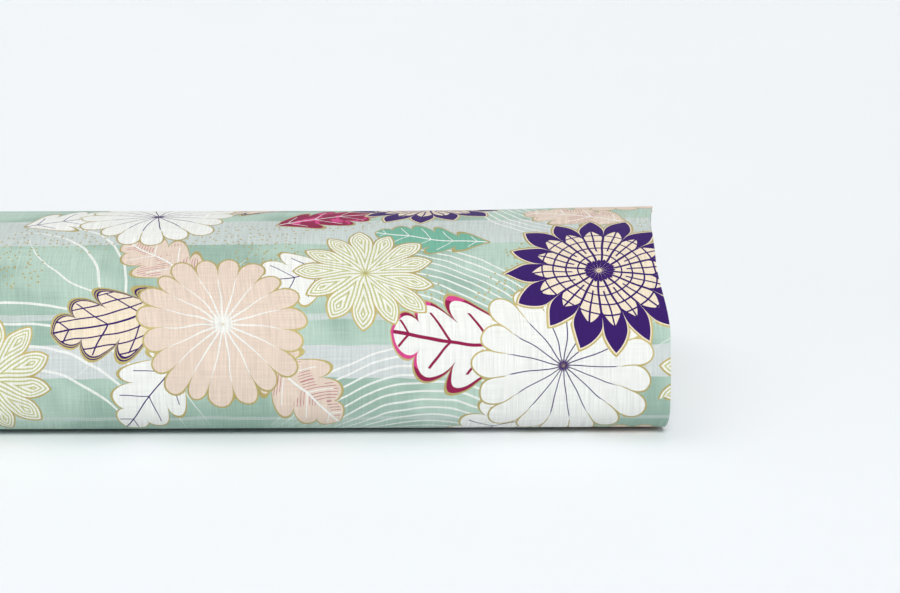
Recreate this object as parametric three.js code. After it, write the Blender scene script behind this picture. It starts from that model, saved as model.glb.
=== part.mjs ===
// A bolt of cloth: one length of cotton, folded double and wound flat round a hollow card board.
// Millimetres, +Z up. The bolt lies on its broad side with its length along X. The fold of the doubled
// cloth is the +X end, the two selvages are the -X end, and the free end of the cloth hangs down the
// back side (+Y). The origin is at the centre of the base.

import * as THREE from 'three';

// Cloth
const clothWidth = 1120;        // selvage to selvage, opened out
const edgeBuild = 22;           // cloth on each long edge of the board
const topBuild = 49;            // cloth above the board
const bottomBuild = 35;         // cloth below the board
const widestHeight = 25;        // height of the widest line, where the sagging sides bulge most
const bottomCornerRun = 20;     // how far each bottom corner curves in to the flat base

// Board
const boardWidth = 146;
const boardThickness = 10;
const boardCornerRadius = 2;
const boardInset = 5;           // from each end of the cloth to the end of the board
const boardWall = 1.5;
const glueLapWidth = 18;        // where the blank laps over itself and is glued

// Stiffening ribs, folded channels inside the board
const ribCount = 3;
const ribWidth = 12;
const ribWall = 1.2;
const ribPitch = 36;
const ribEndClearance = 6;      // from the tongue's free edge to the end of the rib

// Tuck flaps
const flapSideClearance = 2;    // at each side of the flap, inside the board's width
const flapDrop = 0.8;           // from the flap's free edge up to the board's underside
const flapCornerRadius = 1.5;
const tongueLength = 14;
const tongueThickness = 1;
const tongueLift = 0.4;         // running clearance over the board's lower wall
const tongueLapClearance = 2;   // each side of the tongue stays clear of the glued lap by this much
const tongueCornerRadius = 5;

// Paper and tape
const labelLength = 96;
const labelMargin = 1.2;        // from the label to the flap's crease and to its free edge
const paperThickness = 0.3;
const tapeLength = 50;
const tapeWidth = 30;
const tapeFromEnd = 70;         // from each end of the board to the nearer edge of its tape

// Free end of the cloth
const tailThickness = 0.8;
const tailGap = 0.6;            // clear of the roll
const tailStartAngle = 52;      // degrees round the roll's top from the widest line at the back
const tailEndHeight = 17;       // the cut edge stops this far above the base

// Clearances
const fitGap = 0.3;             // between pieces that touch
const windingClearance = 1.2;   // between the board and the inner turn, where the tapes lie

// Sizes that follow
const doubledWidth = clothWidth / 2;
const rollDepth = boardWidth + 2 * edgeBuild;
const rollHeight = bottomBuild + boardThickness + topBuild;
const boardLength = doubledWidth - 2 * boardInset;
const boardEnd = boardLength / 2;
const boardTop = bottomBuild + boardThickness;
const cavityHeight = boardThickness - 2 * boardWall;
const tailStack = tailGap + tailThickness;
const outlineSegments = 28;
const cornerSegments = 6;

const group = new THREE.Group();
group.name = 'fabric_bolt';
group.position.y = -tailStack / 2;   // centres the cloth and its tail on the origin

function material(colour, roughness) {
  return new THREE.MeshStandardMaterial({ color: colour, roughness, metalness: 0 });
}

function addPart(name, geometry, colour, roughness) {
  const mesh = new THREE.Mesh(geometry, material(colour, roughness));
  mesh.name = name;
  group.add(mesh);
}

// Extrudes a section drawn in Y and Z along X.
function alongX(section, startX, endX) {
  const options = { depth: endX - startX, bevelEnabled: false, curveSegments: cornerSegments };
  const geometry = new THREE.ExtrudeGeometry(section, options);
  const axes = new THREE.Matrix4().makeBasis(
    new THREE.Vector3(0, 1, 0),
    new THREE.Vector3(0, 0, 1),
    new THREE.Vector3(1, 0, 0),
  );
  return geometry.applyMatrix4(axes).translate(startX, 0, 0);
}

// The upper half of the cloth's outline is half an ellipse. Angle 0 is the back's widest line, 90 the top.
function topPoint(angle, offset) {
  const halfDepth = rollDepth / 2 + offset;
  const rise = rollHeight - widestHeight + offset;
  return new THREE.Vector2(halfDepth * Math.cos(angle), widestHeight + rise * Math.sin(angle));
}

// Below the widest line each side is a quarter ellipse that curves in to the flat base.
// Angle 0 is the back's widest line, 90 the edge of the base.
function backCornerPoint(angle, offset) {
  const run = bottomCornerRun + offset;
  const drop = widestHeight + offset;
  const centreY = rollDepth / 2 - bottomCornerRun;
  return new THREE.Vector2(centreY + run * Math.cos(angle), widestHeight - drop * Math.sin(angle));
}

function arcPoints(pointAt, startAngle, endAngle, segments) {
  const points = [];
  for (let i = 0; i <= segments; i += 1) {
    points.push(pointAt(startAngle + (endAngle - startAngle) * i / segments));
  }
  return points;
}

function mirrored(points) {
  return points.map((point) => new THREE.Vector2(-point.x, point.y)).reverse();
}

function rollOutline() {
  const top = arcPoints((angle) => topPoint(angle, 0), 0, Math.PI, outlineSegments);
  const backCorner = arcPoints((angle) => backCornerPoint(angle, 0), Math.PI / 2, 0, cornerSegments);
  const frontCorner = mirrored(backCorner);
  return [...backCorner, ...top.slice(1, -1), ...frontCorner];
}

// A rounded rectangle in the shape's own plane, from its low corner to its high corner.
function roundedRectangle(path, lowU, lowV, highU, highV, radius) {
  path.moveTo(lowU + radius, lowV);
  path.lineTo(highU - radius, lowV);
  path.absarc(highU - radius, lowV + radius, radius, -Math.PI / 2, 0, false);
  path.lineTo(highU, highV - radius);
  path.absarc(highU - radius, highV - radius, radius, 0, Math.PI / 2, false);
  path.lineTo(lowU + radius, highV);
  path.absarc(lowU + radius, highV - radius, radius, Math.PI / 2, Math.PI, false);
  path.lineTo(lowU, lowV + radius);
  path.absarc(lowU + radius, lowV + radius, radius, Math.PI, Math.PI * 1.5, false);
  return path;
}

function boardOutline(path, grow) {
  const halfWidth = boardWidth / 2 + grow;
  const radius = boardCornerRadius + grow;
  return roundedRectangle(path, -halfWidth, bottomBuild - grow, halfWidth, boardTop + grow, radius);
}

function makeFabricRoll() {
  const section = new THREE.Shape(rollOutline());
  section.holes.push(boardOutline(new THREE.Path(), windingClearance));
  addPart('fabric_roll', alongX(section, -doubledWidth / 2, doubledWidth / 2), 0xa9c6b4, 0.85);
}

// A curved strip that lies over the back of the roll: down the top's curve, then round the bulge.
function tailSide(offset) {
  const start = THREE.MathUtils.degToRad(tailStartAngle);
  const upper = arcPoints((angle) => topPoint(angle, offset), start, 0, outlineSegments / 2);
  const drop = widestHeight + offset;
  const endAngle = Math.asin((widestHeight - tailEndHeight) / drop);
  const lower = arcPoints((angle) => backCornerPoint(angle, offset), 0, endAngle, 2);
  return [...upper, ...lower.slice(1)];
}

function makeFabricTail() {
  const inner = tailSide(tailGap);
  const outer = tailSide(tailStack).reverse();
  const section = new THREE.Shape([...inner, ...outer].reverse());
  addPart('fabric_tail', alongX(section, -doubledWidth / 2, doubledWidth / 2), 0xa9c6b4, 0.85);
}

// The sleeve's hollow. The glued lap doubles the top wall next to the front edge.
function sleeveHollow() {
  const low = bottomBuild + boardWall;
  const high = boardTop - boardWall;
  const side = boardWidth / 2 - boardWall;
  const lapEdge = -side + glueLapWidth;
  return new THREE.Path([
    new THREE.Vector2(-side, low),
    new THREE.Vector2(side, low),
    new THREE.Vector2(side, high),
    new THREE.Vector2(lapEdge, high),
    new THREE.Vector2(lapEdge, high - boardWall),
    new THREE.Vector2(-side, high - boardWall),
  ]);
}

function makeBoardSleeve() {
  const section = boardOutline(new THREE.Shape(), 0);
  section.holes.push(sleeveHollow());
  addPart('board_sleeve', alongX(section, -boardEnd, boardEnd), 0xc9ab80, 0.9);
}

// A channel folded from card, open at the top, standing between the sleeve's two walls.
function makeRib(name, centreY) {
  const low = bottomBuild + boardWall + fitGap;
  const high = low + cavityHeight - 2 * fitGap;
  const left = centreY - ribWidth / 2;
  const right = centreY + ribWidth / 2;
  const section = new THREE.Shape([
    new THREE.Vector2(left, low),
    new THREE.Vector2(right, low),
    new THREE.Vector2(right, high),
    new THREE.Vector2(right - ribWall, high),
    new THREE.Vector2(right - ribWall, low + ribWall),
    new THREE.Vector2(left + ribWall, low + ribWall),
    new THREE.Vector2(left + ribWall, high),
    new THREE.Vector2(left, high),
  ]);
  const ribEnd = boardEnd - tongueLength - ribEndClearance;
  addPart(name, alongX(section, -ribEnd, ribEnd), 0xbf9f73, 0.9);
}

function makeRibs() {
  const names = ['rib_front', 'rib_middle', 'rib_back'];
  for (let i = 0; i < ribCount; i += 1) {
    makeRib(names[i], (i - (ribCount - 1) / 2) * ribPitch);
  }
}

// A thin panel that faces along X, with rounded corners, between two X values.
function endPanel(lowY, lowZ, highY, highZ, radius, startX, endX) {
  const section = roundedRectangle(new THREE.Shape(), lowY, lowZ, highY, highZ, radius);
  return alongX(section, startX, endX);
}

// Each end is built for +X and turned half way round for -X.
function placeAtEnd(geometry, side) {
  return side > 0 ? geometry : geometry.rotateZ(Math.PI);
}

function makeFlap(name, side) {
  const halfWidth = boardWidth / 2 - flapSideClearance;
  const innerFace = boardEnd + fitGap;
  const outerFace = innerFace + boardWall;
  const low = bottomBuild + flapDrop;
  const panel = endPanel(-halfWidth, low, halfWidth, boardTop, flapCornerRadius, innerFace, outerFace);
  addPart(name, placeAtEnd(panel, side), 0xd2b68c, 0.9);
}

// The tongue lies flat on the sleeve's lower wall, with its free corners rounded.
function makeTongue(name, side) {
  const halfWidth = boardWidth / 2 - boardWall - glueLapWidth - tongueLapClearance;
  const low = bottomBuild + boardWall + tongueLift;
  const freeEdge = boardEnd - tongueLength;
  const outline = new THREE.Shape();
  outline.moveTo(boardEnd, -halfWidth);
  outline.lineTo(boardEnd, halfWidth);
  outline.lineTo(freeEdge + tongueCornerRadius, halfWidth);
  outline.absarc(
    freeEdge + tongueCornerRadius, halfWidth - tongueCornerRadius, tongueCornerRadius,
    Math.PI / 2, Math.PI, false,
  );
  outline.lineTo(freeEdge, -halfWidth + tongueCornerRadius);
  outline.absarc(
    freeEdge + tongueCornerRadius, -halfWidth + tongueCornerRadius, tongueCornerRadius,
    Math.PI, Math.PI * 1.5, false,
  );
  const options = { depth: tongueThickness, bevelEnabled: false, curveSegments: cornerSegments };
  const geometry = new THREE.ExtrudeGeometry(outline, options).translate(0, 0, low);
  addPart(name, placeAtEnd(geometry, side), 0xd2b68c, 0.9);
}

function makeEndLabel() {
  const innerFace = boardEnd + fitGap + boardWall + fitGap;
  const low = bottomBuild + flapDrop + labelMargin;
  const high = boardTop - labelMargin;
  const outerFace = innerFace + paperThickness;
  const panel = endPanel(-labelLength / 2, low, labelLength / 2, high, 1, innerFace, outerFace);
  addPart('end_label', placeAtEnd(panel, -1), 0xf4f2ec, 0.6);
}

// Tape over the board's top, where the cloth's inner end starts.
function makeStartTape(name, side) {
  const low = boardTop + fitGap;
  const outer = boardEnd - tapeFromEnd;
  const geometry = new THREE.BoxGeometry(tapeLength, tapeWidth, paperThickness);
  geometry.translate(outer - tapeLength / 2, 0, low + paperThickness / 2);
  addPart(name, placeAtEnd(geometry, side), 0xd9c9a2, 0.4);
}

makeFabricRoll();
makeFabricTail();
makeBoardSleeve();
makeRibs();
makeFlap('label_end_flap', -1);
makeTongue('label_end_tongue', -1);
makeEndLabel();
makeFlap('fold_end_flap', 1);
makeTongue('fold_end_tongue', 1);
makeStartTape('start_tape_left', -1);
makeStartTape('start_tape_right', 1);

export default group;
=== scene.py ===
# A bolt of printed cotton: the looks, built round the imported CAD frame. Metres, +Z up.
# The cloth is one length, folded double and wound round the card board. It is built in three
# stretches: the hidden windings, the turn under the outer one, and the outer turn with its free end.
import math
import bpy
import numpy as np
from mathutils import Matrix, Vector


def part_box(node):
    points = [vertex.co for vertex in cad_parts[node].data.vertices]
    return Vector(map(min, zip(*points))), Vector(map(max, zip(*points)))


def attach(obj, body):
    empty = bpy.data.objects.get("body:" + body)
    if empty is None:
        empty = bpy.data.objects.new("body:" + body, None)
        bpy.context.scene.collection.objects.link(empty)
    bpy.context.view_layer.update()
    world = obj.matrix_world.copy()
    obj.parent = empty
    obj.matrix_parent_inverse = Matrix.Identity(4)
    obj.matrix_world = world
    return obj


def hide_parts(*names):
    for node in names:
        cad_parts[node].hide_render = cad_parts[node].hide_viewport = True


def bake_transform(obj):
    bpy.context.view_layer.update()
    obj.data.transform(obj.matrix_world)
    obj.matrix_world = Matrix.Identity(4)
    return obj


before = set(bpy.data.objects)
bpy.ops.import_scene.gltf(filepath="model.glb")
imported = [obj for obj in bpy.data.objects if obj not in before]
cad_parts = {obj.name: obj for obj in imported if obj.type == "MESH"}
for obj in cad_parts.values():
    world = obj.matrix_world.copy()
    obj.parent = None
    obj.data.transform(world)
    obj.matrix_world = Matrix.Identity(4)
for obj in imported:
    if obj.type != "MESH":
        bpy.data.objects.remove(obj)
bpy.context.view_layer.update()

# Places taken from the frame
roll_low, roll_high = (np.array(corner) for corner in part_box("fabric_roll"))
board_low, board_high = (np.array(corner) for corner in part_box("board_sleeve"))
centre_y = (roll_low[1] + roll_high[1]) / 2
half_depth = (roll_high[1] - roll_low[1]) / 2
roll_height = roll_high[2]
half_length = roll_high[0]

# The section's own shape, as in the CAD part
WIDEST_HEIGHT = 0.025       # height of the widest line
CORNER_RUN = 0.020          # how far the bottom corners curve in
CORNER_TURN = 0.70          # share of the winding angle, in radians, that each bottom corner takes
WINDING_GAP = 0.0012        # board to first turn
BASE_DROP = 0.0008          # lowers the underside, so that the last turn there meets the floor
EDGE_LIFT = 0.0016          # how far the underside rises towards the bottom corners
EDGE_STRIP = 0.025          # width of the strip along each edge of the underside in which it rises
BOARD_SQUARENESS = 0.25     # power that makes the first turn a rounded box: 1 is an ellipse

# Cloth
TURNS = 38                  # of doubled cloth
PLY = 0.00024               # thickness of one ply
PLY_OFFSET = 0.00014        # from the doubled cloth's middle to the middle of each ply
TAIL_END_ANGLE = -0.145     # where the cut end lies, just below the back's widest line
SEAM_ANGLE = 2.15           # the outer turn's mesh starts on the underside, this far past the cut end
FIRST_ANGLE = 0.6 * math.pi     # where the first turn starts on the board
TOTAL_ANGLE = 2 * math.pi * TURNS
SEAM = TOTAL_ANGLE - 2 * math.pi + SEAM_ANGLE
UNDER_SEAM = SEAM - 2 * math.pi
TAIL_LOOSENESS = 0.0010     # how far off the roll the free end lies
TAIL_LOOSE_FROM = TOTAL_ANGLE - 2.4     # it starts to lie off here
TAIL_LOOSE_FULL = TOTAL_ANGLE - 1.0

# How unevenly the turns are spaced: share of the whole build-up, and how many bunches
BUNCHES = [(0.010, 3), (0.004, 11)]

# Where the ends of the turns have slipped in towards -X: how far, and the angles round the section
# at which the slip starts, is full, starts to fall off and is gone
SLIPS = [(0.0052, 1.15, 1.75, 2.16, 2.72), (0.0016, 3.35, 3.80, 5.4, 6.0)]
HIDDEN_SLIP = 0.0006        # how far the hidden turns lie behind the outer one, on average
HIDDEN_SLIP_WAVE = 0.00022  # and how much that varies

# Rows of the meshes along the cloth
OUTER_ROWS = 250
UNDER_ROWS = 260
ROWS_PER_HIDDEN_TURN = 110

# Relief of the outer turns, along the normal
SWELL = 0.00030             # slow hollows and swells
RIPPLE = 0.00014            # smaller ones
PUCKER = 0.00035            # the soft crease near the fold end
CREASE_X = 0.246
CREASE_SWAY = 0.030         # how far the crease wanders along X
CREASE_WIDTH = 0.007
CROWN = 0.0014              # how much fuller the top is near the fold end
CROWN_FROM = 0.17
CROWN_FULL = 0.26
PRESSED_FLAT = 0.001        # under this height there is no relief
PRESSED_FREE = 0.020        # and above this one it is full

# ---------------------------------------------------------------- the winding

def smooth(low, high, value):
    """0 up to low, 1 from high, and an even S between them."""
    share = np.clip((value - low) / (high - low), 0, 1)
    return share * share * (3 - 2 * share)


def outer_outline(angle):
    """The roll's outside, for angles in radians: 0 is the back's widest line, pi/2 the top."""
    angle = np.mod(angle + math.pi, 2 * math.pi) - math.pi
    y = half_depth * np.cos(angle)
    z = WIDEST_HEIGHT + (roll_height - WIDEST_HEIGHT) * np.sin(angle)
    below = angle < 0
    side = np.sign(np.cos(angle))
    turn = np.minimum(np.abs(angle), math.pi - np.abs(angle))
    corner = np.clip(turn / CORNER_TURN, 0, 1) * math.pi / 2
    flat = half_depth - CORNER_RUN
    along = (turn - CORNER_TURN) / (math.pi / 2 - CORNER_TURN)
    corner_y = side * (flat + CORNER_RUN * np.cos(corner))
    base_y = side * flat * (1 - np.clip(along, 0, 1))
    y = np.where(below, np.where(turn < CORNER_TURN, corner_y, base_y), y)
    lift = EDGE_LIFT * smooth(flat - EDGE_STRIP, flat, np.abs(y)) * np.sin(corner) ** 2
    base_z = WIDEST_HEIGHT - (WIDEST_HEIGHT + BASE_DROP) * np.sin(corner) + lift
    z = np.where(below, base_z, z)
    return np.stack([y, z], -1)


def board_outline(angle):
    """A rounded box just outside the board, with the same angles."""
    half = (board_high[1:] - board_low[1:]) / 2 + WINDING_GAP
    centre_z = (board_high[2] + board_low[2]) / 2
    y = half[0] * np.sign(np.cos(angle)) * np.abs(np.cos(angle)) ** BOARD_SQUARENESS
    z = centre_z + half[1] * np.sign(np.sin(angle)) * np.abs(np.sin(angle)) ** BOARD_SQUARENESS
    return np.stack([y, z], -1)


def turn_bunching(turn):
    """The turns lie in uneven bunches. Grows steadily from 0 to 1 over all the turns."""
    share = turn / TURNS
    return share + sum(depth * np.sin(2 * math.pi * count * share) for depth, count in BUNCHES)


def winding(beta):
    """Where the doubled cloth's middle runs. beta grows by 2 pi a turn and ends at the cut edge."""
    angle = TAIL_END_ANGLE - beta
    share = turn_bunching(beta / (2 * math.pi))[..., None]
    inner = board_outline(angle)
    outer = outer_outline(angle)
    points = inner + (outer - inner) * share
    small_step = 1e-3
    ahead = outer_outline(angle - small_step) - outer_outline(angle + small_step)
    normal = np.stack([-ahead[..., 1], ahead[..., 0]], -1)
    normal /= np.linalg.norm(normal, axis=-1, keepdims=True)
    points -= normal * (PLY_OFFSET + PLY / 2)
    lift = TAIL_LOOSENESS * smooth(TAIL_LOOSE_FROM, TAIL_LOOSE_FULL, beta)
    points += normal * lift[..., None]
    return points, normal, angle


def telescope(angle):
    """How far the ends of the turns step in towards -X, where the winding has slipped sideways."""
    angle = np.mod(angle, 2 * math.pi)
    return sum(depth * smooth(start, full, angle) * (1 - smooth(fall, gone, angle))
               for depth, start, full, fall, gone in SLIPS)


def cloth_columns(outer_steps, inner_steps, fold_steps):
    """Columns of the doubled cloth from the outer selvage, round the fold, to the inner selvage.
    Gives each one's distance back from the fold's tip, its offset across the plies and its place
    along the cloth's width, measured from the fold line."""
    run = 2 * half_length - PLY_OFFSET
    outer = PLY_OFFSET + run * outer_steps[::-1]
    inner = PLY_OFFSET + run * inner_steps
    turn = np.linspace(math.pi / 2, -math.pi / 2, fold_steps + 2)[1:-1]
    back = np.concatenate([outer, PLY_OFFSET * (1 - np.cos(turn)), inner])
    across = np.concatenate([np.ones(len(outer)), np.sin(turn), -np.ones(len(inner))])
    width = np.concatenate([-outer, -PLY_OFFSET * turn, inner])
    return back, across, width


def relief(x, beta, height):
    """Slow hollows, swells and soft creases of a wound turn, in metres along the normal.
    They fade out at the base, where the bolt's weight presses the cloth flat. The waves run
    slantwise, each by its own turns along x and round the section."""
    around = beta % (2 * math.pi)
    swell = SWELL * np.sin(11 * x + 1.3 * around) * np.sin(2 * around + 0.6)
    ripple = RIPPLE * np.sin(37 * x - 2.1 * around + 0.8) * np.sin(19 * x + 3 * around)
    crease = np.exp(-((x - CREASE_X + CREASE_SWAY * np.sin(around)) / CREASE_WIDTH) ** 2)
    pucker = PUCKER * crease * np.sin(5 * around + 1.1)
    on_top = smooth(0.3, 1.0, np.sin(TAIL_END_ANGLE - beta))
    crown = CROWN * smooth(CROWN_FROM, CROWN_FULL, x) * on_top
    return (swell + ripple + pucker) * smooth(PRESSED_FLAT, PRESSED_FREE, height) + crown


def make_cloth(name, start, end, row_count, columns, arc_start, hidden=False):
    """One stretch of the doubled cloth, from winding angle start to end. Its UV map holds each
    point's place on the flat cloth in metres: across from the fold line, and along the length.
    A hidden stretch has uneven ends and no relief. Gives the piece and its length."""
    back, across, width = columns
    beta = np.linspace(start, end, row_count)
    points, normal, angle = winding(beta)
    step = np.linalg.norm(np.diff(points, axis=0), axis=1)
    arc = arc_start + np.concatenate([[0], np.cumsum(step)])
    end_shift = telescope(angle)
    if hidden:
        end_shift = end_shift + uneven_slip(beta)
    x = half_length - end_shift[:, None] - back[None, :]
    offset = PLY_OFFSET * across[None, :] * np.ones_like(x)
    if not hidden:
        offset = offset + relief(x, beta[:, None], points[:, 1:2])
    section = points[:, None, :] + normal[:, None, :] * offset[..., None]
    vertices = np.stack([x, section[..., 0] + centre_y, section[..., 1]], -1)
    rows, cols = x.shape
    index = np.arange(rows * cols).reshape(rows, cols)
    faces = np.stack([index[:-1, :-1], index[:-1, 1:], index[1:, 1:], index[1:, :-1]], -1)
    faces = faces.reshape(-1, 4)
    mesh = bpy.data.meshes.new(name)
    mesh.from_pydata(vertices.reshape(-1, 3).tolist(), [], faces.tolist())
    mesh.polygons.foreach_set("use_smooth", np.ones(len(faces), bool))
    place = np.stack([np.broadcast_to(width, x.shape), np.broadcast_to(arc[:, None], x.shape)], -1)
    layer = mesh.uv_layers.new(name="ClothPlace")
    corners = place.reshape(-1, 2)[faces.reshape(-1)]
    layer.data.foreach_set("uv", corners.reshape(-1).astype(np.float32))
    piece = bpy.data.objects.new(name, mesh)
    bpy.context.collection.objects.link(piece)
    solid = piece.modifiers.new("thickness", "SOLIDIFY")
    solid.thickness = PLY
    solid.offset = 0
    return piece, float(arc[-1] - arc[0])


def uneven_slip(beta):
    """How far each hidden turn's end lies behind the outer turn's."""
    turn = beta / (2 * math.pi)
    waves = np.sin(turn * 2.9) + np.sin(turn * 7.7 + 1) + 0.6 * np.sin(beta * 0.37 + turn)
    return HIDDEN_SLIP + HIDDEN_SLIP_WAVE * waves


def arc_length(start, end):
    """Length of the winding between two winding angles."""
    points, _, _ = winding(np.linspace(start, end, 2000))
    return np.linalg.norm(np.diff(points, axis=0), axis=1).sum()


def make_cloth_stretches():
    """The three stretches of the one cloth, each with its length. Places along the cloth are counted
    from the front's bottom edge. The fine steps are closest together near the fold."""
    front_base = TOTAL_ANGLE + TAIL_END_ANGLE - math.pi - CORNER_TURN
    outer_start = -arc_length(SEAM, front_base)
    under_start = outer_start - arc_length(UNDER_SEAM, SEAM)
    windings_start = under_start - arc_length(FIRST_ANGLE, UNDER_SEAM)
    fine = np.linspace(0, 1, 120) ** 1.5
    coarse = np.array([0, 0.02, 0.35, 1.0])
    outer = make_cloth("cloth_outer_turn", SEAM, TOTAL_ANGLE, OUTER_ROWS,
                       cloth_columns(fine, fine[::2], fold_steps=5), outer_start)
    under = make_cloth("cloth_under_turn", UNDER_SEAM, SEAM, UNDER_ROWS,
                       cloth_columns(fine[::4], coarse, fold_steps=5), under_start)
    inner = make_cloth("cloth_windings", FIRST_ANGLE, UNDER_SEAM, (TURNS - 1) * ROWS_PER_HIDDEN_TURN,
                       cloth_columns(coarse, coarse, fold_steps=3), windings_start, hidden=True)
    return outer, under, inner


# ---------------------------------------------------------------- shader node helpers

MILLIMETRES = 1000          # in a metre: the materials work in millimetres


class Nodes:
    """Adds shader nodes by short calls. An argument is a socket or a plain value."""

    def __init__(self, tree):
        self.tree = tree

    def new(self, kind):
        return self.tree.nodes.new(kind)

    def put(self, socket, value):
        if isinstance(value, bpy.types.NodeSocket):
            self.tree.links.new(value, socket)
        elif value is not None:
            socket.default_value = value

    def math(self, operation, a, b=None, c=None):
        node = self.new("ShaderNodeMath")
        node.operation = operation
        for socket, value in zip(node.inputs, (a, b, c)):
            self.put(socket, value)
        return node.outputs[0]

    def add(self, a, b):
        return self.math("ADD", a, b)

    def sub(self, a, b):
        return self.math("SUBTRACT", a, b)

    def mul(self, a, b):
        return self.math("MULTIPLY", a, b)

    def div(self, a, b):
        return self.math("DIVIDE", a, b)

    def under(self, a, limit):
        """1 where a is under the limit, else 0."""
        return self.math("LESS_THAN", a, limit)

    def over(self, a, limit):
        """1 where a is over the limit, else 0."""
        return self.math("GREATER_THAN", a, limit)

    def both(self, a, b):
        """1 where two masks are both 1."""
        return self.math("MULTIPLY", a, b)

    def either(self, a, b):
        """1 where either of two masks is 1."""
        return self.math("MAXIMUM", a, b)

    def between(self, a, low, high):
        """1 where a lies between two numbers, else 0."""
        return self.math("COMPARE", a, (low + high) / 2, (high - low) / 2)

    def fold(self, a, half_pitch):
        """Distance from a to the nearest whole number of pitches."""
        return self.math("PINGPONG", a, half_pitch)

    def ramp(self, value, low, high, out_low=0.0, out_high=1.0):
        """Goes smoothly from out_low, where value is low, to out_high, where it is high."""
        node = self.new("ShaderNodeMapRange")
        node.interpolation_type = "SMOOTHSTEP"
        for name, item in (("Value", value), ("From Min", low), ("From Max", high),
                           ("To Min", out_low), ("To Max", out_high)):
            self.put(node.inputs[name], item)
        return node.outputs["Result"]

    def mix(self, factor, a, b):
        """Colour a where the factor is 0, b where it is 1."""
        node = self.new("ShaderNodeMix")
        node.data_type = "RGBA"
        self.put(node.inputs[0], factor)
        self.put(node.inputs[6], a)
        self.put(node.inputs[7], b)
        return node.outputs[2]

    def vector(self, x, y):
        node = self.new("ShaderNodeCombineXYZ")
        self.put(node.inputs[0], x)
        self.put(node.inputs[1], y)
        return node.outputs[0]

    def split(self, vector):
        node = self.new("ShaderNodeSeparateXYZ")
        self.put(node.inputs[0], vector)
        return node.outputs[0], node.outputs[1], node.outputs[2]

    def length(self, x, y):
        return self.math("SQRT", self.add(self.mul(x, x), self.mul(y, y)))

    def scaled(self, vector, factor):
        """A vector or colour times a number."""
        node = self.new("ShaderNodeVectorMath")
        node.operation = "SCALE"
        self.put(node.inputs[0], vector)
        self.put(node.inputs["Scale"], factor)
        return node.outputs[0]

    def noise_node(self, vector, scale, detail, dimensions):
        node = self.new("ShaderNodeTexNoise")
        node.noise_dimensions = dimensions
        self.put(node.inputs["Vector"], vector)
        node.inputs["Scale"].default_value = scale
        node.inputs["Detail"].default_value = detail
        return node

    def noise(self, vector, scale, detail, dimensions="2D"):
        """Cloudy values round 0.5."""
        return self.noise_node(vector, scale, detail, dimensions).outputs[0]

    def group(self, tree, values):
        node = self.new("ShaderNodeGroup")
        node.node_tree = tree
        for name, value in values.items():
            self.put(node.inputs[name], value)
        return node.outputs


def ink(red, green, blue):
    """A print colour given as 0 to 255 on screen, as linear light."""
    def linear(value):
        value /= 255
        return value / 12.92 if value <= 0.04045 else ((value + 0.055) / 1.055) ** 2.4
    return (linear(red), linear(green), linear(blue), 1.0)


def new_group(name, inputs, outputs):
    """A node group with these sockets. Gives its tree, its helper, what comes in and what goes out."""
    tree = bpy.data.node_groups.new(name, "ShaderNodeTree")
    kinds = {"float": "NodeSocketFloat", "vector": "NodeSocketVector", "colour": "NodeSocketColor"}
    for item, kind in inputs:
        tree.interface.new_socket(name=item, in_out="INPUT", socket_type=kinds[kind])
    for item, kind in outputs:
        tree.interface.new_socket(name=item, in_out="OUTPUT", socket_type=kinds[kind])
    start = tree.nodes.new("NodeGroupInput")
    end = tree.nodes.new("NodeGroupOutput")
    return tree, Nodes(tree), start.outputs, end.inputs


# ---------------------------------------------------------------- the print

# A plain floral of rosettes, dahlias and oak-like leaves on a banded ground with fans of fine arcs.
# Places are millimetres on the cloth: across from the fold line, and up from the front's bottom edge.
REPEAT_ACROSS = 1120 / 3
REPEAT_UP = 240

SAGE = ink(175, 198, 185)
SAGE_DEEP = ink(149, 176, 162)
BAND_GREY = ink(198, 204, 203)
IVORY = ink(229, 230, 226)
PEACH = ink(218, 200, 185)
PURPLE = ink(50, 16, 97)
CREAM = ink(229, 215, 192)
CRIMSON = ink(140, 24, 71)
ROSE = ink(205, 66, 132)
GOLD = ink(177, 163, 106)
LEMON = ink(213, 213, 180)
OLIVE = ink(172, 174, 116)
LEAF_GREEN = ink(112, 172, 150)
HATCH = ink(178, 112, 122)
EDGE_PURPLE = ink(132, 104, 152)    # the purple ink as it shows at a folded or cut edge

OUTLINE = 0.46              # half width of a gold outline
PETAL_VARIATION = 0.045     # share by which petals differ in length
PETAL_WAVE = 2.4            # radians from one petal to the next in the wave that they differ by
LEAST_TIP = 0.02            # keeps a petal's outline from running straight at the heart
LEAF_FULLEST = 1.25         # power that moves a leaf's widest place towards its tip
LEAF_ROUNDNESS = 0.62       # power that fills out its outline: 1 is a plain sine
LOBE_ROUNDNESS = 0.55       # and the same for each lobe
LOBE_DEPTH = 0.50           # share of a leaf's half width that its lobes take up
LOBE_SLANT = 0.75           # how far lobes and side veins lean towards the tip, against their length
EDGE_SLOPE = 0.62           # turns a distance across the leaf into one square to its outline, about
VEIN_SLOPE = 0.80           # and a distance along the leaf into one square to a side vein
LEAF_MARGIN = 1.6           # a leaf's patches and hatching keep this far in from its outline
MOTIF_PLACE = [("Place", "vector"), ("Across", "float"), ("Up", "float"), ("Size", "float"),
               ("Turn", "float")]


def own_place(n, given):
    """Place from a motif's own origin, with the repeat, turned so that x runs along its direction."""
    across, up, _ = n.split(given["Place"])
    x = n.math("WRAP", n.sub(across, given["Across"]), REPEAT_ACROSS / 2, -REPEAT_ACROSS / 2)
    y = n.math("WRAP", n.sub(up, given["Up"]), REPEAT_UP / 2, -REPEAT_UP / 2)
    cosine = n.math("COSINE", given["Turn"])
    sine = n.math("SINE", given["Turn"])
    along = n.add(n.mul(x, cosine), n.mul(y, sine))
    aside = n.sub(n.mul(y, cosine), n.mul(x, sine))
    return along, aside


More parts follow.
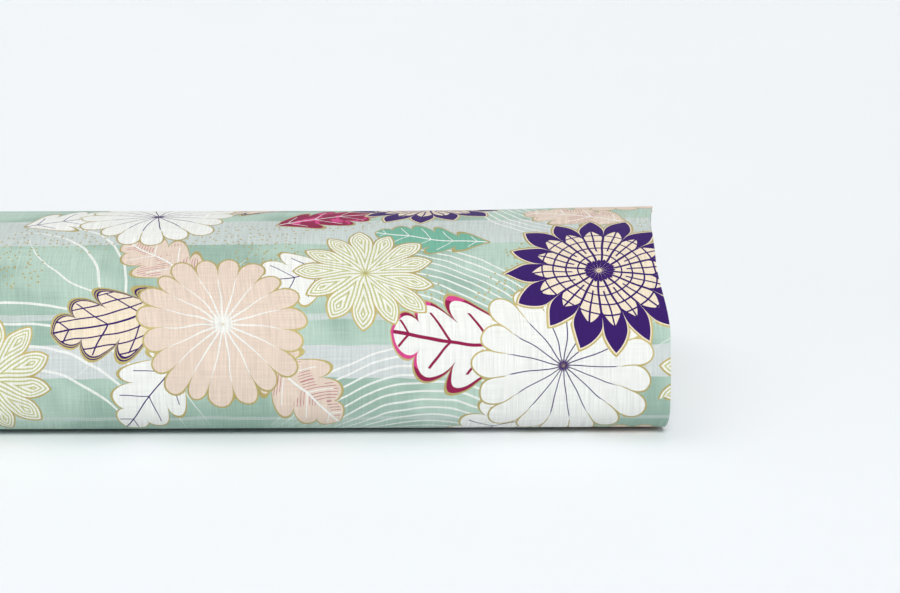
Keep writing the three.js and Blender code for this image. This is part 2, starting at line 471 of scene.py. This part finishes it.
def flower_field():
    """Distances within a round flower, in millimetres: Edge inwards from the outline, Seam from the
    line between two petals, Ray from a petal's middle line, and Reach from the heart. Share is how
    far out a point lies, from 0 at the heart to 1 at the outline."""
    inputs = MOTIF_PLACE + [(name, "float") for name in ("Petals", "Notch", "Point")]
    outputs = [(name, "float") for name in ("Edge", "Seam", "Ray", "Reach", "Share")]
    tree, n, given, result = new_group("flower_field", inputs, outputs)
    x, y = own_place(n, given)
    reach = n.math("MAXIMUM", n.length(x, y), 0.01)
    sector = n.mul(n.math("ARCTAN2", y, x), n.div(given["Petals"], 2 * math.pi))
    number = n.math("ROUND", sector)
    off = n.math("ABSOLUTE", n.sub(sector, number))
    share = n.mul(off, 2)
    round_tip = n.math("SQRT", n.math("MAXIMUM", n.sub(1, n.mul(share, share)), LEAST_TIP))
    sharp_tip = n.sub(1, share)
    tip = n.add(n.mul(round_tip, n.sub(1, given["Point"])), n.mul(sharp_tip, given["Point"]))
    uneven = n.mul(n.math("SINE", n.mul(number, PETAL_WAVE)), PETAL_VARIATION)
    size = n.mul(given["Size"], n.sub(n.add(1, uneven), n.mul(given["Notch"], n.sub(1, tip))))
    fall = n.mul(n.div(share, round_tip), n.sub(1, given["Point"]))
    fall = n.mul(n.add(fall, given["Point"]), n.div(given["Petals"], math.pi))
    slope = n.div(n.mul(n.mul(given["Size"], given["Notch"]), fall), reach)
    steepness = n.math("SQRT", n.add(1, n.mul(slope, slope)))
    arc = n.mul(reach, n.div(2 * math.pi, given["Petals"]))
    n.put(result["Edge"], n.div(n.sub(size, reach), steepness))
    n.put(result["Seam"], n.mul(n.sub(0.5, off), arc))
    n.put(result["Ray"], n.mul(off, arc))
    n.put(result["Reach"], reach)
    n.put(result["Share"], n.div(reach, size))
    return tree


def leaf_field():
    """Distances within a lobed leaf, in millimetres: Edge inwards from the outline, Middle from the
    main vein and Vein from the nearest side vein. Share is how far out from the main vein a point
    lies, from 0 to 1, and Place is handed on."""
    inputs = MOTIF_PLACE + [(name, "float") for name in ("Breadth", "Bend", "Lobes")]
    outputs = [(name, "float") for name in ("Edge", "Middle", "Vein", "Share")] + [("Place", "vector")]
    tree, n, given, result = new_group("leaf_field", inputs, outputs)
    x, y = own_place(n, given)
    along = n.div(x, given["Size"])
    bow = n.mul(n.mul(along, n.sub(1, along)), given["Bend"])
    middle = n.math("ABSOLUTE", n.sub(y, bow))
    inside = n.math("MINIMUM", n.math("MAXIMUM", along, 0.0), 1.0)
    half_wave = n.math("SINE", n.mul(n.math("POWER", inside, LEAF_FULLEST), math.pi))
    outline = n.math("POWER", half_wave, LEAF_ROUNDNESS)
    slant = n.sub(along, n.mul(n.div(middle, given["Size"]), LOBE_SLANT))
    lobe = n.mul(slant, given["Lobes"])
    lobe_wave = n.math("ABSOLUTE", n.math("SINE", n.mul(lobe, math.pi)))
    bulge = n.math("POWER", lobe_wave, LOBE_ROUNDNESS)
    lobed = n.add(1 - LOBE_DEPTH, n.mul(bulge, LOBE_DEPTH))
    breadth = n.mul(n.mul(given["Breadth"], outline), lobed)
    off_vein = n.fold(n.add(lobe, 0.5), 0.5)
    spacing = n.div(given["Size"], given["Lobes"])
    past_end = n.math("MAXIMUM", n.math("MAXIMUM", n.mul(x, -1), n.sub(x, given["Size"])), 0)
    n.put(result["Edge"], n.sub(n.mul(n.sub(breadth, middle), EDGE_SLOPE), past_end))
    n.put(result["Middle"], middle)
    n.put(result["Vein"], n.mul(n.mul(off_vein, spacing), VEIN_SLOPE))
    n.put(result["Share"], n.div(middle, n.math("MAXIMUM", breadth, 0.1)))
    n.put(result["Place"], given["Place"])
    return tree


MOTIF_INPUTS = MOTIF_PLACE + [("Under", "colour"), ("Metal", "float"), ("Detail", "float")]
MOTIF_OUTPUTS = [("Colour", "colour"), ("Metal", "float")]


def motif(name, field_tree, paint, shape, detail_name):
    """A motif's group: paint gives its colour and any gold of its own, and a gold line goes round it.
    shape holds the field's fixed values, and detail_name the one that each motif sets for itself."""
    tree, n, given, result = new_group(name, MOTIF_INPUTS, MOTIF_OUTPUTS)
    values = {key: given[key] for key, _ in MOTIF_PLACE}
    field = n.group(field_tree, {**values, **shape, detail_name: given["Detail"]})
    colour, gold = paint(n, field)
    inside = n.over(field["Edge"], -OUTLINE)
    line = n.under(n.math("ABSOLUTE", field["Edge"]), OUTLINE)
    gold = line if gold is None else n.either(line, gold)
    n.put(result["Colour"], n.mix(inside, given["Under"], n.mix(gold, colour, GOLD)))
    kept = n.mul(given["Metal"], n.sub(1, inside))
    n.put(result["Metal"], n.add(kept, n.mul(inside, gold)))
    return tree


def seam_line(n, field, half_width, start, end):
    """The line between two petals, from one share of the way out to another."""
    return n.both(n.under(field["Seam"], half_width), n.between(field["Share"], start, end))


def paint_peach_rosette(n, field):
    """Peach petals with pale seams that thin outwards from a pale heart."""
    half_width = n.ramp(field["Share"], low=0.1, high=0.8, out_low=0.45, out_high=0.22)
    seam_end = 0.84
    seam = n.both(n.under(field["Seam"], half_width), n.under(field["Share"], seam_end))
    heart = n.ramp(field["Reach"], low=1.0, high=7.0, out_low=1.0, out_high=0.0)
    return n.mix(heart, n.mix(seam, PEACH, IVORY), IVORY), None


def paint_white_rosette(n, field):
    """Ivory petals with fine purple seams, gold towards their tips, and a small purple heart."""
    vein = seam_line(n, field, half_width=0.26, start=0.0, end=0.72)
    heart = n.ramp(field["Reach"], low=1.6, high=3.6, out_low=1.0, out_high=0.0)
    tip = seam_line(n, field, half_width=0.30, start=0.78, end=1.0)
    return n.mix(heart, n.mix(vein, IVORY, PURPLE), PURPLE), tip


def paint_dahlia(n, field):
    """Purple petals round a ring of cream ones, each with purple lines, and a purple heart."""
    ring_start, ring_end = 0.17, 0.70
    petal_gap = 0.62
    ray_half_width, ray_start = 0.45, 0.30
    hoop_half_pitch, hoop_half_width = 2.9, 0.42
    cream_width = 0.65
    ring = n.between(field["Share"], ring_start, ring_end)
    petal = n.both(ring, n.over(field["Seam"], petal_gap))
    ray = n.both(n.under(field["Ray"], ray_half_width), n.between(field["Share"], ray_start, 1.0))
    hoop = n.under(n.fold(field["Reach"], hoop_half_pitch), hoop_half_width)
    colour = n.mix(petal, PURPLE, CREAM)
    colour = n.mix(n.both(n.either(ray, hoop), ring), colour, PURPLE)
    cream_line = n.between(field["Edge"], OUTLINE, OUTLINE + cream_width)
    return n.mix(cream_line, colour, CREAM), None


def paint_lemon_flower(n, field):
    """Each petal is filled with outlines of itself, one inside the other."""
    half_pitch, pale_over, olive_under = 0.95, 0.58, 0.22
    rings = n.fold(n.math("MINIMUM", field["Seam"], field["Edge"]), half_pitch)
    colour = n.mix(n.over(rings, pale_over), LEMON, IVORY)
    return n.mix(n.under(rings, olive_under), colour, OLIVE), None


def leaf_veins(n, field, main, side, reach):
    """Veins by their half widths. The side veins go out to a share of the half width."""
    main_vein = n.under(field["Middle"], main)
    side_vein = n.both(n.under(field["Vein"], side), n.under(field["Share"], reach))
    return n.either(main_vein, side_vein)


def patches(n, field, scale, detail, limit):
    """Cloudy patches of a leaf."""
    return n.over(n.noise(field["Place"], scale, detail), limit)


def paint_white_leaf(n, field):
    return n.mix(leaf_veins(n, field, main=0.32, side=0.24, reach=0.72), IVORY, PURPLE), None


def paint_crimson_edged_leaf(n, field):
    """Ivory with strong crimson veins and a crimson border, part of which is rose."""
    veins = leaf_veins(n, field, main=0.95, side=0.62, reach=0.62)
    border_width = 2.3
    border = n.under(field["Edge"], border_width)
    rose = n.both(border, patches(n, field, scale=0.06, detail=1.0, limit=0.56))
    colour = n.mix(n.either(veins, border), IVORY, CRIMSON)
    return n.mix(rose, colour, ROSE), None


def paint_dark_leaf(n, field):
    """Cream with purple veins, purple lines along the leaf, and a purple border with gold in it."""
    veins = leaf_veins(n, field, main=0.50, side=0.36, reach=0.80)
    line_half_pitch, line_half_width, border_width = 2.7, 0.36, 1.9
    gold_from, gold_to = 0.9, 1.3
    lines = n.under(n.fold(field["Middle"], line_half_pitch), line_half_width)
    colour = n.mix(n.either(veins, lines), CREAM, PURPLE)
    gold = n.between(field["Edge"], gold_from, gold_to)
    return n.mix(n.under(field["Edge"], border_width), colour, PURPLE), gold


def paint_peach_leaf(n, field):
    """Peach with pale veins, and patches of reddish hatching along the side veins."""
    veins = leaf_veins(n, field, main=0.50, side=0.26, reach=0.70)
    hatch_half_pitch, hatch_half_width = 0.75, 0.17
    hatch = n.under(n.fold(field["Vein"], hatch_half_pitch), hatch_half_width)
    hatch = n.both(hatch, n.over(field["Edge"], LEAF_MARGIN))
    hatch = n.both(hatch, patches(n, field, scale=0.07, detail=1.0, limit=0.53))
    return n.mix(veins, n.mix(hatch, PEACH, HATCH), IVORY), None


def paint_crimson_leaf(n, field):
    """Crimson with rose patches and pale veins."""
    rose = n.both(patches(n, field, scale=0.11, detail=2.0, limit=0.58),
                  n.over(field["Edge"], LEAF_MARGIN))
    colour = n.mix(rose, CRIMSON, ROSE)
    return n.mix(leaf_veins(n, field, main=0.42, side=0.22, reach=0.74), colour, IVORY), None


def paint_green_leaf(n, field):
    return n.mix(leaf_veins(n, field, main=0.48, side=0.22, reach=0.72), LEAF_GREEN, IVORY), None


def arc_fan(n, place, across, up, inner, outer, spacing, width, start, end):
    """Concentric arcs round a centre, from radius inner to outer, between two directions in degrees.
    Their lines taper to nothing at both ends."""
    x, y = own_place(n, {"Place": place, "Across": across, "Up": up, "Turn": math.radians(start)})
    reach = n.length(x, y)
    turn = n.math("ARCTAN2", y, x)
    span = math.radians(end - start)
    taper = n.mul(n.ramp(turn, 0, span / 3), n.ramp(turn, span, span * 2 / 3))
    line = n.under(n.fold(n.sub(reach, inner), spacing / 2), n.mul(taper, width / 2))
    return n.both(line, n.between(reach, inner - width, outer + width))


# across, up, inner radius, outer radius, spacing, line width, from and to in degrees
FANS = [
    (-120, -34, 30, 94.4, 4.6, 1.1, 12, 160),
    (-150, 10, 84, 120, 4.5, 1.0, 0, 100),
    (-330, -20, 70, 105, 11.5, 1.4, 15, 130),
    (-262, 150, 64, 64, 9.0, 1.3, 180, 340),
    (-330, 96, 46, 60, 13.5, 1.3, -70, 110),
    (-20, 200, 40, 76, 4.5, 1.0, 100, 270),
]

# low edge, high edge, and how strongly the band's grey shows
BANDS = [(20, 22.2, 0.5), (44, 61, 1.0), (74, 77.5, 0.7), (128, 158, 0.8), (176, 179, 0.5),
         (200, 219, 1.0)]

FAN_STRENGTH = 0.88
SPECKS_PER_MM = 0.24
SPECK_RADIUS = 0.14         # as a share of the specks' spacing
SPECKS_OVER = 0.54          # they lie in drifts, where a cloudy noise is over this
SPECKS_FROM = 84            # no specks lower in the repeat than this


def paint_ground(n, place):
    """Clouded sage with grey bands, fans of arcs and gold specks. Gives its colour and its gold."""
    _, y, _ = n.split(place)
    cloud = n.noise(place, scale=0.022, detail=2.0)
    colour = n.mix(n.ramp(cloud, low=0.35, high=0.65), SAGE, SAGE_DEEP)
    up = n.math("WRAP", y, REPEAT_UP, 0.0)
    for low, high, strength in BANDS:
        colour = n.mix(n.mul(n.between(up, low, high), strength), colour, BAND_GREY)
    lines = 0.0
    for fan in FANS:
        lines = n.either(lines, arc_fan(n, place, *fan))
    colour = n.mix(n.mul(lines, FAN_STRENGTH), colour, IVORY)
    dots = n.new("ShaderNodeTexVoronoi")
    dots.voronoi_dimensions = "2D"
    n.put(dots.inputs["Vector"], place)
    dots.inputs["Scale"].default_value = SPECKS_PER_MM
    drift = n.over(n.noise(place, scale=0.017, detail=1.0), SPECKS_OVER)
    drift = n.both(drift, n.over(up, SPECKS_FROM))
    speck = n.both(n.under(dots.outputs["Distance"], SPECK_RADIUS), drift)
    return n.mix(speck, colour, GOLD), speck


# kind, across, up, size, direction in degrees, and its petals or its bend
MOTIFS = [
    ("green_leaf", -84, 128, 60, 168, 6),
    ("crimson_leaf", -196, 150, 58, 26, 8),
    ("white_leaf", -330, 150, 58, 30, -8),
    ("dark_leaf", -196, 192, 62, 186, 8),
    ("peach_leaf", -10, 150, 60, 158, -8),
    ("dark_leaf", -238, 88, 76, 196, 12),
    ("white_leaf", -234, 66, 66, 232, -10),
    ("peach_leaf", -212, 60, 62, -42, 10),
    ("peach_leaf", -226, 96, 60, 142, 8),
    ("white_leaf", -152, 112, 56, 196, 8),
    ("crimson_edged_leaf", -56, 62, 84, 176, 16),
    ("white_leaf", -48, 26, 66, 202, -10),
    ("lemon_flower", -148, 104, 36, 12, 13),
    ("white_rosette", -262, 168, 40, 4, 16),
    ("dahlia", -120, 196, 44, 6, 15),
    ("peach_rosette", -224, 72, 43, 4, 19),
    ("peach_rosette", -20, 214, 40, 8, 17),
    ("white_rosette", -52, 50, 46, 10, 17),
    ("dahlia", -28, 104, 49, 3, 16),
    ("lemon_flower", -344, 44, 34, 20, 12),
]


def make_motifs():
    """The group for each kind of motif, by name."""
    flower = flower_field()
    leaf = leaf_field()
    kinds = {}
    for name, paint, notch, point in (("peach_rosette", paint_peach_rosette, 0.22, 0.0),
                                      ("white_rosette", paint_white_rosette, 0.22, 0.0),
                                      ("dahlia", paint_dahlia, 0.26, 0.7),
                                      ("lemon_flower", paint_lemon_flower, 0.40, 0.4)):
        kinds[name] = motif(name, flower, paint, {"Notch": notch, "Point": point}, "Petals")
    for name, paint, breadth, lobes in (("white_leaf", paint_white_leaf, 20, 4.0),
                                        ("crimson_edged_leaf", paint_crimson_edged_leaf, 27, 4.0),
                                        ("dark_leaf", paint_dark_leaf, 21, 4.0),
                                        ("peach_leaf", paint_peach_leaf, 19, 4.0),
                                        ("crimson_leaf", paint_crimson_leaf, 19, 4.0),
                                        ("green_leaf", paint_green_leaf, 15, 5.0)):
        kinds[name] = motif(name, leaf, paint, {"Breadth": breadth, "Lobes": lobes}, "Bend")
    return kinds


BRUSH_DRIFT = 3.6           # how far the drawing strays


def hand_drawn(n, place):
    """Moves the print's lines a little, as brush drawing does. Returns the moved place."""
    drift = n.noise_node(place, scale=0.04, detail=1.0, dimensions="2D").outputs["Color"]
    shift = n.new("ShaderNodeVectorMath")
    shift.operation = "MULTIPLY_ADD"
    n.put(shift.inputs[0], drift)
    shift.inputs[1].default_value = (BRUSH_DRIFT, BRUSH_DRIFT, 0)
    n.put(shift.inputs[2], place)
    return shift.outputs[0]


# ---------------------------------------------------------------- cloth materials

THREAD = 0.62               # millimetres from thread to thread
SLUB_ACROSS = 1.6           # a slub, a thick stretch of thread, comes this often per millimetre across
SLUB_ALONG = 0.05           # the thread, and this often along it
SLUB_HEIGHT = 0.9           # against a height of 1 where threads cross
WARP_SLUB_SHADE = 0.34      # how strongly each of these lightens or darkens the cloth
WEFT_SLUB_SHADE = 0.20
# The gap and rib shades are painted shade and painted light in the colour.
GAP_SHADE = 0.18
RIB_SHADE = 0.07
GAP_MIDDLE = 0.45           # height of a crossing that neither lightens nor darkens
WEAVE_BUMP = 0.35           # the bump's strength, and its depth in metres
WEAVE_DEPTH = 0.0002


def weave(n, place):
    """Height of a plain weave with uneven threads, and a shade that scales its colour. The slubs vary
    the threads' own tone. The gaps between threads are painted shade, the raised crossings are painted
    highlight, and alternate crossings are painted lighter and darker.
    """
    x, y, _ = n.split(place)
    warp = n.math("SINE", n.mul(x, math.pi / THREAD))
    weft = n.math("SINE", n.mul(y, math.pi / THREAD))
    crossing = n.mul(n.math("ABSOLUTE", warp), n.math("ABSOLUTE", weft))
    warp_slub = n.noise(n.vector(n.mul(x, SLUB_ACROSS), n.mul(y, SLUB_ALONG)), scale=1.0, detail=1.0)
    weft_slub = n.noise(n.vector(n.mul(x, SLUB_ALONG), n.mul(y, SLUB_ACROSS)), scale=1.0, detail=1.0)
    height = n.add(crossing, n.mul(n.add(warp_slub, weft_slub), SLUB_HEIGHT))
    slub_shade = n.add(n.mul(n.sub(warp_slub, 0.5), WARP_SLUB_SHADE),
                       n.mul(n.sub(weft_slub, 0.5), WEFT_SLUB_SHADE))
    # Painted shade in the gaps between threads, and painted highlight on the raised crossings.
    gap_shade = n.mul(n.sub(crossing, GAP_MIDDLE), GAP_SHADE)
    # Painted light and shade: alternate crossings are made lighter and darker.
    rib_shade = n.mul(n.mul(warp, weft), RIB_SHADE)
    return height, n.add(1.0, n.add(rib_shade, n.add(slub_shade, gap_shade)))


def cloth_place(n):
    """The place on the flat cloth, in millimetres."""
    uv = n.new("ShaderNodeUVMap")
    uv.uv_map = "ClothPlace"
    return n.scaled(uv.outputs[0], MILLIMETRES)


def start_material(name):
    """A new material, its node helper and the sockets of its shader."""
    material = bpy.data.materials.new(name)
    material.use_nodes = True
    n = Nodes(material.node_tree)
    return material, n, material.node_tree.nodes["Principled BSDF"].inputs


def add_bump(n, height, shader, strength, depth):
    """Bump from a height, with its depth in metres."""
    bump = n.new("ShaderNodeBump")
    bump.inputs["Strength"].default_value = strength
    bump.inputs["Distance"].default_value = depth
    n.put(bump.inputs["Height"], height)
    n.put(shader["Normal"], bump.outputs[0])


def printed_cotton():
    """The printed face: ground, then the motifs over each other in turn, then the weave."""
    material, n, shader = start_material("printed_cotton")
    place = cloth_place(n)
    drawn = hand_drawn(n, place)
    colour, metal = paint_ground(n, drawn)
    kinds = make_motifs()
    for kind, across, up, size, turn, detail in MOTIFS:
        outputs = n.group(kinds[kind], {
            "Place": drawn, "Under": colour, "Metal": metal, "Across": across, "Up": up,
            "Size": size, "Turn": math.radians(turn), "Detail": detail})
        colour, metal = outputs["Colour"], outputs["Metal"]
    height, shade = weave(n, place)
    cloth_roughness, gold_metallic, gold_smoothing = 0.88, 0.35, 0.42
    # The weave's shade scales the base colour. It holds the slubs' own tone, painted shade in the gaps
    # and painted highlight on the crossings.
    n.put(shader["Base Color"], n.scaled(colour, shade))
    n.put(shader["Metallic"], n.mul(metal, gold_metallic))
    n.put(shader["Roughness"], n.sub(cloth_roughness, n.mul(metal, gold_smoothing)))
    shader["Specular IOR Level"].default_value = 0.25
    shader["Sheen Weight"].default_value = 0.06
    shader["Sheen Roughness"].default_value = 0.5
    add_bump(n, height, shader, strength=WEAVE_BUMP, depth=WEAVE_DEPTH)
    return material


def wound_edges():
    """The hidden turns, of which only the folded and cut edges show: patches of the print's colours."""
    material, n, shader = start_material("wound_edges")
    place = cloth_place(n)
    patch = n.noise(place, scale=0.03, detail=2.0)
    _, y, _ = n.split(place)
    tone = n.noise(n.vector(0.0, n.mul(y, 0.02)), scale=3.0, detail=3.0)
    peach_under, purple_over = 0.40, 0.62
    colour = n.mix(n.ramp(tone, low=0.3, high=0.7), SAGE, IVORY)
    colour = n.mix(n.under(patch, peach_under), colour, PEACH)
    colour = n.mix(n.over(patch, purple_over), colour, EDGE_PURPLE)
    height, shade = weave(n, place)
    # The weave's shade scales the base colour. It holds the slubs' own tone, painted shade in the gaps
    # and painted highlight on the crossings.
    n.put(shader["Base Color"], n.scaled(colour, shade))
    shader["Roughness"].default_value = 0.9
    shader["Specular IOR Level"].default_value = 0.2
    add_bump(n, height, shader, strength=WEAVE_BUMP, depth=WEAVE_DEPTH)
    return material


# ---------------------------------------------------------------- card and paper materials

FIBRE_STRETCH = (0.12, 1.0, 1.0)    # card fibres run along X
SPECK_BROWN = ink(96, 68, 44)
PAPER_SHADOW = ink(214, 206, 190)
RULE_BLUE = ink(150, 160, 170)


def object_place(n, scale=(1, 1, 1)):
    """Millimetres in the part's own frame, multiplied by scale along each axis."""
    place = n.new("ShaderNodeTexCoord").outputs["Object"]
    node = n.new("ShaderNodeVectorMath")
    node.operation = "MULTIPLY"
    n.put(node.inputs[0], place)
    node.inputs[1].default_value = [MILLIMETRES * item for item in scale]
    return node.outputs[0]


def card(name, light, dark, flute_pitch):
    """Brown card: long fibres, darker specks, and the faint ridges of its flutes along X."""
    material, n, shader = start_material(name)
    place = object_place(n)
    fibres = n.noise(object_place(n, FIBRE_STRETCH), scale=0.9, detail=4.0, dimensions="3D")
    blotch = n.noise(place, scale=0.05, detail=2.0, dimensions="3D")
    specks = n.noise(place, scale=1.3, detail=1.0, dimensions="3D")
    blotch_strength, specks_over, speck_strength = 0.35, 0.70, 0.55
    flute_height = 0.5      # against a height of 1 for the fibres
    colour = n.mix(n.ramp(fibres, low=0.35, high=0.7), light, dark)
    colour = n.mix(n.mul(n.ramp(blotch, low=0.4, high=0.7), blotch_strength), colour, dark)
    colour = n.mix(n.mul(n.over(specks, specks_over), speck_strength), colour, SPECK_BROWN)
    _, y, _ = n.split(place)
    flutes = n.math("SINE", n.mul(y, 2 * math.pi / flute_pitch))
    height = n.add(n.mul(flutes, flute_height), fibres)
    n.put(shader["Base Color"], colour)
    n.put(shader["Roughness"], n.ramp(fibres, low=0.2, high=0.8, out_low=0.78, out_high=0.94))
    shader["Specular IOR Level"].default_value = 0.2
    add_bump(n, height, shader, strength=0.3, depth=0.0003)
    return material


def paper(name, base, rule_pitch):
    """Smooth paper with faint fibres and, with a rule pitch, plain ruled lines across it."""
    material, n, shader = start_material(name)
    place = object_place(n)
    fibres = n.noise(place, scale=1.1, detail=3.0, dimensions="3D")
    fibre_strength, rule_half_width, rule_strength = 0.4, 0.16, 0.6
    colour = n.mix(n.mul(n.ramp(fibres, low=0.35, high=0.75), fibre_strength), base, PAPER_SHADOW)
    if rule_pitch:
        _, y, _ = n.split(place)
        rules = n.under(n.fold(y, rule_pitch / 2), rule_half_width)
        colour = n.mix(n.mul(rules, rule_strength), colour, RULE_BLUE)
    n.put(shader["Base Color"], colour)
    n.put(shader["Roughness"], n.ramp(fibres, low=0.2, high=0.8, out_low=0.55, out_high=0.72))
    add_bump(n, fibres, shader, strength=0.15, depth=0.0001)
    return material


def dress_cad_nodes():
    """Gives each CAD node that stays on show its finished material."""
    sleeve_card = card("sleeve_card", ink(198, 168, 128), ink(176, 143, 103), flute_pitch=6.5)
    rib_card = card("rib_card", ink(184, 150, 110), ink(160, 126, 88), flute_pitch=4.0)
    label_paper = paper("label_paper", ink(244, 242, 236), rule_pitch=6.0)
    tape_paper = paper("tape_paper", ink(226, 206, 160), rule_pitch=0)
    finishes = [
        (sleeve_card, ("board_sleeve", "label_end_flap", "label_end_tongue", "fold_end_flap",
                       "fold_end_tongue")),
        (rib_card, ("rib_front", "rib_middle", "rib_back")),
        (label_paper, ("end_label",)),
        (tape_paper, ("start_tape_left", "start_tape_right")),
    ]
    for material, names in finishes:
        for name in names:
            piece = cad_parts[name]
            piece.data.materials.clear()
            piece.data.materials.append(material)


# ---------------------------------------------------------------- stage

def make_floor():
    """A round studio floor that turns up into a low pale wall all the way round. Its colour is painted
    lighter from behind towards the front, as painted light.
    """
    floor_radius, turn_up, wall_height = 4.0, 1.2, 2.6
    bend_rings, spokes = 17, 96
    bend = np.linspace(0, math.pi / 2, bend_rings)
    radius = np.append(floor_radius + turn_up * np.sin(bend), floor_radius + turn_up)
    height = np.append(turn_up * (1 - np.cos(bend)), wall_height)
    around = np.linspace(0, 2 * math.pi, spokes, endpoint=False)
    x = radius[:, None] * np.cos(around)
    y = radius[:, None] * np.sin(around)
    z = np.broadcast_to(height[:, None], x.shape)
    vertices = np.stack([x, y, z], -1).reshape(-1, 3)
    ring, spoke = np.meshgrid(np.arange(bend_rings), np.arange(spokes), indexing="ij")
    after = (spoke + 1) % spokes
    low, high = ring * spokes, (ring + 1) * spokes
    faces = np.stack([low + spoke, high + spoke, high + after, low + after], -1).reshape(-1, 4).tolist()
    faces.append(list(range(spokes)))
    mesh = bpy.data.meshes.new("floor")
    mesh.from_pydata(vertices.tolist(), [], faces)
    mesh.polygons.foreach_set("use_smooth", np.ones(len(faces), bool))
    floor = bpy.data.objects.new("floor", mesh)
    bpy.context.collection.objects.link(floor)
    material, n, shader = start_material("floor_white")
    place = object_place(n)
    tone = n.noise(place, scale=0.002, detail=2.0, dimensions="3D")
    _, y, _ = n.split(place)
    # Painted light: the floor is painted lighter towards the front than behind, a painted pool of
    # light. The cloudy tone behind is the floor's own.
    behind = n.mix(tone, ink(232, 236, 238), ink(236, 239, 242))
    painted_light_front = ink(240, 244, 247)
    behind_y, front_y = 250, -200
    n.put(shader["Base Color"], n.mix(n.ramp(y, low=behind_y, high=front_y), behind, painted_light_front))
    n.put(shader["Roughness"], n.ramp(tone, low=0.3, high=0.7, out_low=0.55, out_high=0.65))
    shader["Specular IOR Level"].default_value = 0.2
    floor.data.materials.append(material)


def add_light(kind, name, energy, colour, place):
    """A lamp that points from place to the bolt. Gives its settings."""
    light = bpy.data.lights.new(name, kind)
    light.energy = energy
    light.color = colour
    lamp = bpy.data.objects.new(name, light)
    bpy.context.collection.objects.link(lamp)
    lamp.location = place
    lamp.rotation_euler = (-Vector(place)).to_track_quat("-Z", "Y").to_euler()
    return light


def light_scene():
    """Even light from all round, a softbox overhead and a broad window light from in front."""
    world = bpy.data.worlds.new("world")
    bpy.context.scene.world = world
    world.use_nodes = True
    background = world.node_tree.nodes["Background"].inputs
    background["Color"].default_value = (0.95, 0.965, 1.0, 1)
    background["Strength"].default_value = 0.40
    softbox = add_light("AREA", "overhead_softbox", energy=16, colour=(1.0, 0.985, 0.96),
                        place=(-0.4, 0.5, 2.6))
    softbox.shape = "RECTANGLE"
    softbox.size = 2.6
    softbox.size_y = 2.0
    window = add_light("SUN", "window_light", energy=2.1, colour=(1.0, 0.99, 0.97),
                       place=(0.10, -0.92, 1.0))
    window.angle = math.radians(24)
    bpy.context.scene.view_settings.view_transform = "Standard"


def add_camera():
    """In front of the bolt and above it, looking down at its fold end."""
    place = (0.1702, -1.288, 0.4023)
    look_down = math.radians(15.3)
    roll = math.radians(0.24)
    camera_data = bpy.data.cameras.new("camera")
    camera_data.sensor_width = 36
    camera_data.lens = 99
    camera = bpy.data.objects.new("camera", camera_data)
    bpy.context.collection.objects.link(camera)
    camera.location = place
    camera.rotation_euler = (math.pi / 2 - look_down, roll, 0)
    bpy.context.scene.camera = camera


# ---------------------------------------------------------------- assembly

add_camera()
light_scene()
make_floor()
dress_cad_nodes()

stretches = make_cloth_stretches()
cotton = printed_cotton()
for (piece, length), finish in zip(stretches, (cotton, cotton, wound_edges())):
    piece.data.materials.append(finish)
outer_turn, under_turn, windings = (piece for piece, _ in stretches)
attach(under_turn, "bolt")
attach(windings, "bolt")
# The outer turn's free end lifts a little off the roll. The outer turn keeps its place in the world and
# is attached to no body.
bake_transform(outer_turn)
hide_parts("fabric_tail")
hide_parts("fabric_roll")
